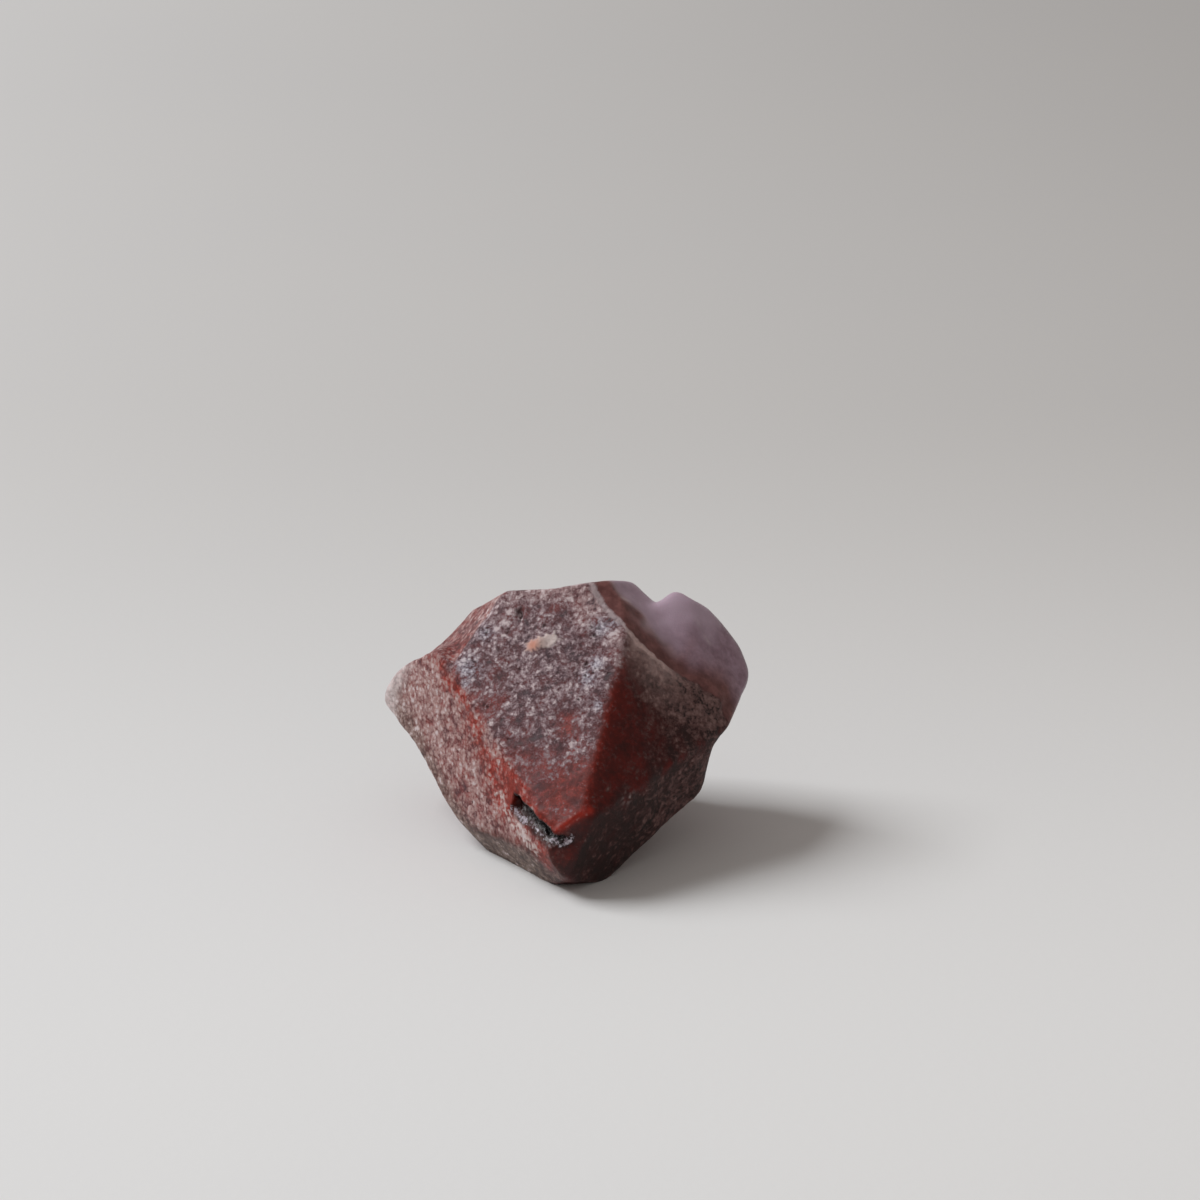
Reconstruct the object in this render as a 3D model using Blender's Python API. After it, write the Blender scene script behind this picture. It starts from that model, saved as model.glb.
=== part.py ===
"""Super seven quartz point: a short, thick crystal broken off its matrix and lying on a table.

The stone is one solid. Its faces are laid out the way a crystal is measured: every flat face has
a turn around the long axis, a lean away from it and a distance from the heart of the stone.
The tip points towards -Y and the stone rests on z = 0.
"""

import math

import bpy
import numpy as np
from mathutils import Vector, noise

MM = 0.001

# The long axis, from root to tip: it leans left and dips towards the table.
AXIS_YAW = 4.8
AXIS_DIP = 8.4
TABLE = -11.7  # height of the table under the heart of the stone, mm

# Flat faces: name, turn around the axis (0 is up, 90 is right), lean from the axis, distance.
PYRAMID_FACES = (
    ("broad upper face", -18.4, 54.2, 8.53),
    ("left face", -78.4, 51.3, 10.58),
    ("right face", 42.2, 52.3, 11.09),
    ("lower right face", 102.0, 50.4, 13.17),
    ("lower left face", -122.6, 48.4, 13.9),
    ("bottom face", 173.5, 52.4, 16.4),
)
SIDE_FACES = (
    ("upper left side", -50.4, 91.5, 13.58),
    ("left side", -82.5, 89.7, 19.32),
    ("right side", 102.1, 90.0, 14.32),
    ("lower left side", -142.7, 96.5, 13.05),
    ("under side", 158.0, 98.2, 9.25),
    ("upper right side", 41.8, 91.0, 13.4),
)
TOP_FACES = (("broken top", -0.1, 134.1, 13.05),)
BREAK_FACES = (
    ("back left", -112.0, 160.0, 15.6),
    ("back right", 100.0, 160.0, 15.8),
    ("back upper", 8.0, 158.0, 14.6),
)
SHOULDER_FACES = (
    ("top left", -9.4, 119.6, 14.8),
    ("top", -13.7, 121.1, 14.1),
    ("top right", 8.8, 122.8, 16.38),
    ("slope to the notch", 53.0, 114.8, 14.9),
)
LOBE_FACES = (
    ("notch side", -50.6, 109.7, 2.68),
    ("top", -0.7, 122.4, 15.0),
    ("upper corner", 23.3, 122.1, 17.04),
    ("upper right", 51.1, 116.7, 19.04),
    ("right", 61.3, 112.9, 19.46),
    ("far right", 76.7, 106.4, 19.51),
    ("right end", 101.6, 93.2, 17.6),
    ("lower right", 115.1, 86.0, 14.81),
    ("undercut", 136.4, 85.8, 10.11),
)
LOBE_FRONT = (
    ("front lower", 41.3, 68.3, 12.42),
    ("front left", 11.3, 60.9, 7.72),
    ("front right", 48.9, 75.5, 13.62),
)
FLANGE_FACES = (
    ("left end", -85.8, 91.6, 20.44),
    ("upper left", -65.9, 102.3, 19.47),
    ("upper slope", -50.6, 109.8, 17.36),
    ("upper edge", -27.2, 115.6, 12.67),
    ("crease under the side", 29.7, 99.0, 0.26),
    ("lower left", -128.5, 69.4, 13.38),
)
# The root swells under the back and carries the rear of the stone.
FOOT_FACES = (
    ("front", 180.0, 35.0, 3.6),
    ("top", 0.0, 112.0, -3.0),
    ("rear", 180.0, 140.0, 15.4),
    ("left", -100.0, 84.0, 12.6),
    ("right", 108.0, 84.0, 9.8),
    ("left bevel", -138.0, 88.0, 15.6),
    ("right bevel", 146.0, 88.0, 13.2),
)
# Planes that stop the lumps inside the stone: the way they face and how far out they lie, mm.
LOBE_LIMITS = (((-1.0, 0.0, 0.0), -4.0), ((0.3, 0.0, -0.95), 8.0))
FLANGE_LIMITS = (((1.0, 0.0, 0.0), -6.0), ((-0.3, 0.0, -0.95), 8.5))
# Chips at the tip, each cut in by a ledge wall and a floor.
CHIPS = (
    (
        ("ledge left of the ridge", -152.0, 78.3, 5.39),
        ("groove floor", -24.0, 63.0, 4.8),
        ("groove end", 103.0, 38.7, 6.28),
    ),
    (
        ("ledge across the tip", 84.9, 22.4, 15.68),
        ("broken tip", 0.8, 13.3, 15.52),
    ),
)
# Shell-shaped breaks: centre of a hollow ball (right, back, up) and its radius, mm.
FRONT_SCOOPS = (((47.5, -23.6, 49.8), 60.0), ((5.0, -6.7, 25.8), 14.0))
BACK_SCOOPS = (
    ((-9.0, 27.5, 7.0), 17.0),
    ((10.5, 28.5, -4.0), 17.5),
    ((4.0, 21.0, 18.0), 13.0),
    ((-9.0, 25.5, -13.0), 14.0),
)
RIPPLE_STEP = 1.5
RIPPLE_HEIGHT = 0.06
RIPPLE_DEPTH = 0.3  # how near the hollow ball the skin must lie to be rippled, mm
STRUCK_OFF = (4.0, 0.0, 3.0)  # where the blow fell, from the deepest point of each hollow

# Small things on the faces: centre, radius and height (negative is a pit), mm.
BUMPS = (
    ((-3.05, -1.34, 9.89), 0.95, 0.45),
    ((-5.11, 1.5, 11.75), 0.6, -0.5),
    ((-13.5, 7.25, 4.23), 0.9, -0.7),
    ((-0.4, -8.3, 4.2), 1.6, -0.12),
    ((12.1, 6.7, 11.6), 0.8, -0.3),
    ((8.8, 5.8, 11.3), 0.8, -0.2),
)
# Gentle waves over all the skin: size, shift and height, mm.
WAVES = ((5.0, (0.0, 0.0, 0.0), 0.14), (1.7, (7.0, 3.0, 1.0), 0.09))

# How far each kind of edge is worn round, mm.
WEAR = 0.16
ROOT_WEAR = 0.3
FOOT_WEAR = 0.8
BREAK_WEAR = 0.25
CHIP_WEAR = 0.06
# The seams where the lumps of the root meet fill in more the deeper they lie under the faces.
SEAM_LEAST, SEAM_GROWTH, SEAM_MOST = 0.06, 0.25, 0.4
SHOULDER_SEAM = 0.1

GRID = 70  # directions along each edge of the cube the skin is spread from
TRIANGLES = 8800
OUTSIDE = 34.0  # farther from the heart than any of the skin, mm
WALK_STEPS = 32
SLOPE_STEP = 0.05  # how far apart the skin is felt to find which way it faces, mm
PRESSED = 0.04  # a corner this near the table is pressed flat onto it, mm
SHARP_TURN = 22.0  # faces that turn by more than this meet in a sharp edge, degrees


def unit(vector):
    return vector / np.linalg.norm(vector)


yaw, dip = math.radians(AXIS_YAW), math.radians(AXIS_DIP)
AXIS = np.array(
    [-math.sin(yaw) * math.cos(dip), -math.cos(yaw) * math.cos(dip), -math.sin(dip)]
)
AXIS_UP = unit(np.array([0.0, 0.0, 1.0]) - AXIS * AXIS[2])
AXIS_RIGHT = np.cross(AXIS_UP, AXIS)


def face_normal(turn, lean):
    turn, lean = math.radians(turn), math.radians(lean)
    around = math.cos(turn) * AXIS_UP + math.sin(turn) * AXIS_RIGHT
    return math.cos(lean) * AXIS + math.sin(lean) * around


def worn_max(fields, wear):
    """The largest of the fields, rounded by the wear where two of them meet."""
    fields = np.stack(fields)
    top = fields.max(axis=0)
    return top + wear * np.log(np.exp((fields - top) / wear).sum(axis=0))


def flats(points, faces):
    """How far each point stands outside each flat face."""
    return [points @ face_normal(turn, lean) - far for _, turn, lean, far in faces]


def hollows(points, scoops):
    return [size - np.linalg.norm(points - np.array(middle), axis=1) for middle, size in scoops]


def limits(points, planes):
    return [points @ np.array(direction) - level for direction, level in planes]


def joined(fields, blend):
    """The union of the fields, filled in by the blend where two of them meet."""
    return -worn_max([-field for field in fields], blend)


def stone_field(points):
    """Negative inside the stone, zero on its skin, in mm from the heart."""
    pyramid = flats(points, PYRAMID_FACES)
    depth = -np.stack(pyramid).max(axis=0)
    seam = np.clip(SEAM_LEAST + SEAM_GROWTH * depth, SEAM_LEAST, SEAM_MOST)

    shoulder = worn_max(flats(points, SHOULDER_FACES), ROOT_WEAR)
    top = joined([flats(points, TOP_FACES)[0], shoulder], SHOULDER_SEAM)
    scoop = worn_max(hollows(points, FRONT_SCOOPS), ROOT_WEAR)
    prism = worn_max(flats(points, SIDE_FACES) + [top, scoop], WEAR)
    lobe = [worn_max(flats(points, faces), ROOT_WEAR) for faces in (LOBE_FACES, LOBE_FRONT)]
    lobe = worn_max(lobe + limits(points, LOBE_LIMITS), ROOT_WEAR)
    flange = [worn_max(flats(points, FLANGE_FACES), ROOT_WEAR)]
    flange = worn_max(flange + limits(points, FLANGE_LIMITS), ROOT_WEAR)
    foot = worn_max(flats(points, FOOT_FACES), FOOT_WEAR)
    body = joined([prism, flange, lobe, foot], seam)
    broken = worn_max(hollows(points, BACK_SCOOPS) + flats(points, BREAK_FACES), BREAK_WEAR)
    chips = [np.min(flats(points, faces), axis=0) for faces in CHIPS]
    return worn_max([worn_max(pyramid + [body, broken], WEAR)] + chips, CHIP_WEAR)


def cube_directions(grid):
    """Directions spread evenly over a cube, and the triangles that join them."""
    turns = np.tan(np.linspace(-math.pi / 4, math.pi / 4, grid + 1))
    index = {}
    directions, triangles = [], []

    def corner(side, i, j):
        across, sign = side
        spot = [0.0, 0.0, 0.0]
        spot[across] = sign
        spot[(across + 1) % 3] = turns[i] * sign
        spot[(across + 2) % 3] = turns[j]
        key = tuple(round(value, 6) for value in spot)
        if key not in index:
            index[key] = len(directions)
            directions.append(spot)
        return index[key]

    for side in ((0, 1.0), (0, -1.0), (1, 1.0), (1, -1.0), (2, 1.0), (2, -1.0)):
        for i in range(grid):
            for j in range(grid):
                a, b = corner(side, i, j), corner(side, i + 1, j)
                c, d = corner(side, i + 1, j + 1), corner(side, i, j + 1)
                if (i + j) % 2:
                    triangles += [(a, b, c), (a, c, d)]
                else:
                    triangles += [(a, b, d), (b, c, d)]
    directions = np.array(directions)
    directions /= np.linalg.norm(directions, axis=1)[:, None]
    return directions, triangles


def skin_points(directions):
    """Walks in from outside along every direction until it meets the stone."""
    reach = np.full(len(directions), OUTSIDE)
    for _ in range(WALK_STEPS):
        reach -= stone_field(directions * reach[:, None])
    return directions * reach[:, None]


def skin_normals(points):
    steps = SLOPE_STEP * np.eye(3)
    slopes = [stone_field(points + step) - stone_field(points - step) for step in steps]
    normals = np.stack(slopes, axis=1)
    return normals / np.linalg.norm(normals, axis=1)[:, None]


def unevenness(points, normals):
    """Height of the small shapes over the skin, mm."""
    rise = np.zeros(len(points))
    for k, point in enumerate(points):
        spot = Vector(point)
        rise[k] = sum(
            height * noise.noise(spot / size + Vector(shift)) for size, shift, height in WAVES
        )
    for middle, size, height in BUMPS:
        far = np.linalg.norm(points - np.array(middle), axis=1) / size
        rise += height * np.exp(-2.0 * far**2)
    for middle, size in BACK_SCOOPS:
        ball = np.array(middle)
        gap = np.abs(np.linalg.norm(points - ball, axis=1) - size)
        struck = ball + size * unit(np.array([ball[0], 0.0, ball[2]]) - ball)
        ring = np.linalg.norm(points - struck - np.array(STRUCK_OFF), axis=1)
        on_scoop = np.clip(1.0 - gap / RIPPLE_DEPTH, 0.0, 1.0)
        rise += RIPPLE_HEIGHT * on_scoop * np.cos(2 * math.pi * ring / RIPPLE_STEP)
    return rise


def flatten_under(points, level, near):
    """Presses what hangs under the table, or just over it, flat onto the table."""
    under = points[:, 2] < level + near
    points[under, 2] = level


def make_stone():
    directions, triangles = cube_directions(GRID)
    points = skin_points(directions)
    normals = skin_normals(points)
    points += normals * unevenness(points, normals)[:, None]
    flatten_under(points, TABLE, 0.0)

    mesh = bpy.data.meshes.new("quartz_point")
    mesh.from_pydata((points * MM).tolist(), [], triangles)
    stone = bpy.data.objects.new("quartz_point", mesh)
    bpy.context.collection.objects.link(stone)

    # The flat faces need few triangles, so the skin is thinned and keeps its ridges.
    thin = stone.modifiers.new("thin", "DECIMATE")
    thin.ratio = TRIANGLES / len(triangles)
    bpy.context.view_layer.update()
    graph = bpy.context.evaluated_depsgraph_get()
    thinned = bpy.data.meshes.new_from_object(stone.evaluated_get(graph))
    stone.modifiers.clear()
    stone.data = thinned
    thinned.name = "quartz_point"
    bpy.data.meshes.remove(mesh)

    spots = np.empty(len(thinned.vertices) * 3)
    thinned.vertices.foreach_get("co", spots)
    spots = spots.reshape(-1, 3)
    flatten_under(spots, TABLE * MM, PRESSED * MM)
    low, high = spots.min(axis=0), spots.max(axis=0)
    spots -= np.array([(low[0] + high[0]) / 2, (low[1] + high[1]) / 2, low[2]])
    thinned.vertices.foreach_set("co", spots.ravel())
    thinned.shade_smooth()
    thinned.set_sharp_from_angle(angle=math.radians(SHARP_TURN))
    return stone


def quartz_material():
    material = bpy.data.materials.new("quartz")
    material.use_nodes = True
    shader = material.node_tree.nodes["Principled BSDF"]
    shader.inputs["Base Color"].default_value = (0.25, 0.1, 0.09, 1.0)
    shader.inputs["Roughness"].default_value = 0.55
    shader.inputs["Metallic"].default_value = 0.0
    return material


for leftover in list(bpy.data.objects):
    bpy.data.objects.remove(leftover)

quartz_point = make_stone()
quartz_point.data.materials.clear()
quartz_point.data.materials.append(quartz_material())
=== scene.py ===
"""Super seven quartz point: its fine skin, its minerals and the pale table it lies on.

The stone is measured in millimetres from its heart, as a crystal is: every flat face has a turn
around the long axis, a lean away from it and a distance. The finished skin is carried into the
frame in metres and stands in for the faceted solid.
"""

import math

import bpy
import numpy as np
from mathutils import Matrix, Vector, noise


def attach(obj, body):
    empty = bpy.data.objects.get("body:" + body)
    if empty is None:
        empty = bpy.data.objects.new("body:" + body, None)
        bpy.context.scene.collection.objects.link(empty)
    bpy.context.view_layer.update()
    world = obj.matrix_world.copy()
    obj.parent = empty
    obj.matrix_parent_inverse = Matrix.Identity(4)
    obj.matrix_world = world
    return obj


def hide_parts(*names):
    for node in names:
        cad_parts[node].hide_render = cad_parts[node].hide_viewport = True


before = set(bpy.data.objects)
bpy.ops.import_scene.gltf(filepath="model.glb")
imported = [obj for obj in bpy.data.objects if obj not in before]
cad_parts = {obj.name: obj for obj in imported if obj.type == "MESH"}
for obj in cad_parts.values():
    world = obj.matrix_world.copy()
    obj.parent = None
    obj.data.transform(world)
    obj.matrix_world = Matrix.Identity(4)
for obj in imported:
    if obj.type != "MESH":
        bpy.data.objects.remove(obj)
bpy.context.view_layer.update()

MM = 0.001
HEART = np.array([0.578, 0.456, 11.7])
TABLE = -11.7

# The long axis, from root to tip: it leans left and dips towards the table.
AXIS_YAW = 4.8
AXIS_DIP = 8.4

# Flat faces: name, turn around the axis (0 is up, 90 is right), lean from the axis, distance.
PYRAMID_FACES = (
    ("broad upper face", -18.4, 54.2, 8.53),
    ("left face", -78.4, 51.3, 10.58),
    ("right face", 42.2, 52.3, 11.09),
    ("lower right face", 102.0, 50.4, 13.17),
    ("lower left face", -122.6, 48.4, 13.9),
    ("bottom face", 173.5, 52.4, 16.4),
)
SIDE_FACES = (
    ("upper left side", -50.4, 91.5, 13.58),
    ("left side", -82.5, 89.7, 19.32),
    ("right side", 102.1, 90.0, 14.32),
    ("lower left side", -142.7, 96.5, 13.05),
    ("under side", 158.0, 98.2, 9.25),
    ("upper right side", 41.8, 91.0, 13.4),
)
TOP_FACES = (("broken top", -0.1, 134.1, 13.05),)
BREAK_FACES = (
    ("back left", -112.0, 160.0, 15.6),
    ("back right", 100.0, 160.0, 15.8),
    ("back upper", 8.0, 158.0, 14.6),
)
SHOULDER_FACES = (
    ("top left", -9.4, 119.6, 14.8),
    ("top", -13.7, 121.1, 14.1),
    ("top right", 8.8, 122.8, 16.38),
    ("slope to the notch", 53.0, 114.8, 14.9),
)
LOBE_FACES = (
    ("notch side", -50.6, 109.7, 2.68),
    ("top", -0.7, 122.4, 15.0),
    ("upper corner", 23.3, 122.1, 17.04),
    ("upper right", 51.1, 116.7, 19.04),
    ("right", 61.3, 112.9, 19.46),
    ("far right", 76.7, 106.4, 19.51),
    ("right end", 101.6, 93.2, 17.6),
    ("lower right", 115.1, 86.0, 14.81),
    ("undercut", 136.4, 85.8, 10.11),
)
LOBE_FRONT = (
    ("front lower", 41.3, 68.3, 12.42),
    ("front left", 11.3, 60.9, 7.72),
    ("front right", 48.9, 75.5, 13.62),
)
FLANGE_FACES = (
    ("left end", -85.8, 91.6, 20.44),
    ("upper left", -65.9, 102.3, 19.47),
    ("upper slope", -50.6, 109.8, 17.36),
    ("upper edge", -27.2, 115.6, 12.67),
    ("crease under the side", 29.7, 99.0, 0.26),
    ("lower left", -128.5, 69.4, 13.38),
)
FOOT_FACES = (
    ("front", 180.0, 35.0, 3.6),
    ("top", 0.0, 112.0, -3.0),
    ("rear", 180.0, 140.0, 15.4),
    ("left", -100.0, 84.0, 12.6),
    ("right", 108.0, 84.0, 9.8),
    ("left bevel", -138.0, 88.0, 15.6),
    ("right bevel", 146.0, 88.0, 13.2),
)
GROOVE_FACES = (
    ("ledge left of the ridge", -152.0, 78.3, 5.39),
    ("groove floor", -24.0, 63.0, 4.8),
    ("groove end", 103.0, 38.7, 6.28),
)
TIP_FACES = (
    ("ledge across the tip", 84.9, 22.4, 15.68),
    ("broken tip", 0.8, 13.3, 15.52),
)
# Planes that stop the lumps inside the stone: the way they face and how far out they lie, mm.
LOBE_LIMITS = (((-1.0, 0.0, 0.0), -4.0), ((0.3, 0.0, -0.95), 8.0))
FLANGE_LIMITS = (((1.0, 0.0, 0.0), -6.0), ((-0.3, 0.0, -0.95), 8.5))
# Shell-shaped breaks: centre of a hollow ball (right, back, up) and its radius, mm.
FRONT_SCOOPS = (((47.5, -23.6, 49.8), 60.0), ((5.0, -6.7, 25.8), 14.0))
BACK_SCOOPS = (
    ((-9.0, 27.5, 7.0), 17.0),
    ((10.5, 28.5, -4.0), 17.5),
    ((4.0, 21.0, 18.0), 13.0),
    ((-9.0, 25.5, -13.0), 14.0),
)

# Ripples spread over each shell-shaped break from where the blow fell.
RIPPLE_STEP, RIPPLE_HEIGHT, RIPPLE_DEPTH = 1.5, 0.06, 0.3
STRUCK_OFF = (4.0, 0.0, 3.0)
# Small things on the faces: centre, radius and height (negative is a pit), mm.
BUMPS = (
    ((-3.05, -1.34, 9.89), 0.95, 0.45),
    ((-5.11, 1.5, 11.75), 0.6, -0.5),
    ((-13.5, 7.25, 4.23), 0.9, -0.7),
    ((-0.4, -8.3, 4.2), 1.6, -0.12),
    ((12.1, 6.7, 11.6), 0.8, -0.3),
    ((8.8, 5.8, 11.3), 0.8, -0.2),
)

# How far each kind of edge is worn round, mm.
WEAR = 0.16
ROOT_WEAR = 0.3
FOOT_WEAR = 0.8
BREAK_WEAR = 0.25
CHIP_WEAR = 0.06
# The seams where the lumps of the root meet fill in more the deeper they lie under the faces.
SEAM_LEAST, SEAM_GROWTH, SEAM_MOST = 0.06, 0.25, 0.4
SHOULDER_SEAM = 0.1

GRID = 125  # directions along each edge of the cube the skin is spread from
CROWDING = 0.25  # how much closer the directions stand towards the pointed end
CROWDED_TO = (0.0, -1.0, 0.35)
OUTSIDE = 34.0  # farther from the heart than any of the skin, mm
WALK_STEPS, CLOSING_STEPS = 14, 5
SLOPE_STEP = 0.03  # how far apart the skin is felt to find which way it faces, mm
LEAST_SLOPE = 0.25

TABLES = (
    PYRAMID_FACES, SIDE_FACES, TOP_FACES, BREAK_FACES, SHOULDER_FACES, LOBE_FACES, LOBE_FRONT,
    FLANGE_FACES, FOOT_FACES, GROOVE_FACES, TIP_FACES,
)


# ---------------------------------------------------------------- the shape of the stone


def unit(vector):
    return vector / np.linalg.norm(vector)


yaw, dip = math.radians(AXIS_YAW), math.radians(AXIS_DIP)
AXIS = np.array(
    [-math.sin(yaw) * math.cos(dip), -math.cos(yaw) * math.cos(dip), -math.sin(dip)]
)
AXIS_UP = unit(np.array([0.0, 0.0, 1.0]) - AXIS * AXIS[2])
AXIS_RIGHT = np.cross(AXIS_UP, AXIS)


def face_normal(turn, lean):
    turn, lean = math.radians(turn), math.radians(lean)
    around = math.cos(turn) * AXIS_UP + math.sin(turn) * AXIS_RIGHT
    return math.cos(lean) * AXIS + math.sin(lean) * around


NORMALS = np.array([face_normal(turn, lean) for table in TABLES for _, turn, lean, _ in table])
DISTANCES = np.array([far for table in TABLES for _, _, _, far in table])
SPLITS = np.cumsum([len(table) for table in TABLES])[:-1]


def flats(points):
    """How far each point stands outside every flat face, one array for each table of faces."""
    return np.split(points @ NORMALS.T - DISTANCES, SPLITS, axis=1)


def worn_max(fields, wear):
    """The largest of the columns, rounded by the wear where two of them meet."""
    top = fields.max(axis=1, keepdims=True)
    rounded = top + wear * np.log(np.exp((fields - top) / wear).sum(axis=1, keepdims=True))
    return rounded[:, 0]


def hollows(points, scoops):
    """How far each point stands inside every hollow ball."""
    away = [size - np.linalg.norm(points - np.array(middle), axis=1) for middle, size in scoops]
    return np.stack(away, axis=1)


def limits(points, planes):
    """How far each point stands past every limiting plane."""
    return np.stack([points @ np.array(direction) - level for direction, level in planes], axis=1)


def columns(*fields):
    return np.concatenate([f if f.ndim == 2 else f[:, None] for f in fields], axis=1)


def joined(fields, blend):
    """The union of the columns, filled in by the blend where two of them meet."""
    return -worn_max(-fields, blend)


def stone_parts(points):
    """The grown faces, the body of the stone, its broken back and the chips at its tip."""
    pyramid, side, top, back, shoulder, lobe, lobe_front, flange, foot, groove, tip = flats(points)
    depth = -pyramid.max(axis=1)
    seam = np.clip(SEAM_LEAST + SEAM_GROWTH * depth, SEAM_LEAST, SEAM_MOST)

    crown = joined(columns(top, worn_max(shoulder, ROOT_WEAR)), SHOULDER_SEAM)
    scoop = worn_max(hollows(points, FRONT_SCOOPS), ROOT_WEAR)
    prism = worn_max(columns(side, crown, scoop), WEAR)
    lobe = columns(worn_max(lobe, ROOT_WEAR), worn_max(lobe_front, ROOT_WEAR))
    lobe = worn_max(columns(lobe, limits(points, LOBE_LIMITS)), ROOT_WEAR)
    flange = columns(worn_max(flange, ROOT_WEAR), limits(points, FLANGE_LIMITS))
    flange = worn_max(flange, ROOT_WEAR)
    body = joined(columns(prism, flange, lobe, worn_max(foot, FOOT_WEAR)), seam[:, None])
    broken = worn_max(columns(hollows(points, BACK_SCOOPS), back), BREAK_WEAR)
    return pyramid, body, broken, columns(groove.min(axis=1), tip.min(axis=1))


def stone_field(points):
    """Negative inside the stone, zero on its skin, in mm from the heart."""
    pyramid, body, broken, chipped = stone_parts(points)
    whole = worn_max(columns(pyramid, body, broken), WEAR)
    return worn_max(columns(whole, chipped), CHIP_WEAR)


def cube_directions(grid):
    """Directions spread over a cube, crowded towards the tip, and the triangles that join them."""
    turns = np.tan(np.linspace(-math.pi / 4, math.pi / 4, grid + 1))
    index = {}
    directions, triangles = [], []

    def corner(side, i, j):
        across, sign = side
        towards = [0.0, 0.0, 0.0]
        towards[across] = sign
        towards[(across + 1) % 3] = turns[i] * sign
        towards[(across + 2) % 3] = turns[j]
        key = tuple(round(value, 6) for value in towards)
        if key not in index:
            index[key] = len(directions)
            directions.append(towards)
        return index[key]

    for side in ((0, 1.0), (0, -1.0), (1, 1.0), (1, -1.0), (2, 1.0), (2, -1.0)):
        for i in range(grid):
            for j in range(grid):
                a, b = corner(side, i, j), corner(side, i + 1, j)
                c, d = corner(side, i + 1, j + 1), corner(side, i, j + 1)
                if (i + j) % 2:
                    triangles += [(a, b, c), (a, c, d)]
                else:
                    triangles += [(a, b, d), (b, c, d)]
    directions = np.array(directions)
    directions /= np.linalg.norm(directions, axis=1)[:, None]
    directions += CROWDING * unit(np.array(CROWDED_TO))
    directions /= np.linalg.norm(directions, axis=1)[:, None]
    return directions, triangles


def skin_points(directions):
    """Walks in from outside along every direction, then closes in on the skin."""
    reach = np.full(len(directions), OUTSIDE)
    for _ in range(WALK_STEPS):
        reach -= stone_field(directions * reach[:, None])
    for _ in range(CLOSING_STEPS):
        here = stone_field(directions * reach[:, None])
        slope = (stone_field(directions * (reach + SLOPE_STEP)[:, None]) - here) / SLOPE_STEP
        reach -= here / np.clip(slope, LEAST_SLOPE, None)
    return directions * reach[:, None]


def skin_normals(points):
    """Which way the skin faces, felt a short step to each side."""
    steps = SLOPE_STEP * np.eye(3)
    slopes = [stone_field(points + step) - stone_field(points - step) for step in steps]
    normals = np.stack(slopes, axis=1)
    return normals / np.linalg.norm(normals, axis=1)[:, None]


# ---------------------------------------------------------------- patterns over the skin


def swell(points, size, shift):
    """Smooth noise over the skin, about -0.7 to 0.7, in blobs of the given size."""
    move = Vector(shift)
    return np.array([noise.noise(Vector(place) + move) for place in (points / size).tolist()])


def grains(points, size):
    """0 in the middle of a grain, rising to about 1 at the seams between grains."""
    return np.array([noise.voronoi(Vector(place))[0][0] for place in (points / size).tolist()])


def ramp(values, low, high):
    """0 below low, 1 above high, and a smooth step between them. Low may be the larger."""
    x = np.clip((values - low) / (high - low), 0.0, 1.0)
    return x * x * (3.0 - 2.0 * x)


def faded(far):
    """1 at the middle of a mark and nearly gone at its radius, where far is 1."""
    return np.exp(-1.5 * far**2)


def spot(points, centre, radius):
    return faded(np.linalg.norm(points - np.array(centre), axis=1) / radius)


def patches(points, places):
    return np.max([spot(points, centre, radius) for centre, radius in places], axis=0)


def streak(points, path, radius):
    """A mark that follows a path of points."""
    nearest = np.full(len(points), np.inf)
    for a, b in zip(path[:-1], path[1:]):
        a, b = np.array(a), np.array(b)
        along = np.clip((points - a) @ (b - a) / ((b - a) @ (b - a)), 0.0, 1.0)
        nearest = np.minimum(nearest, np.linalg.norm(points - a - along[:, None] * (b - a), axis=1))
    return faded(nearest / radius)


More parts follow.
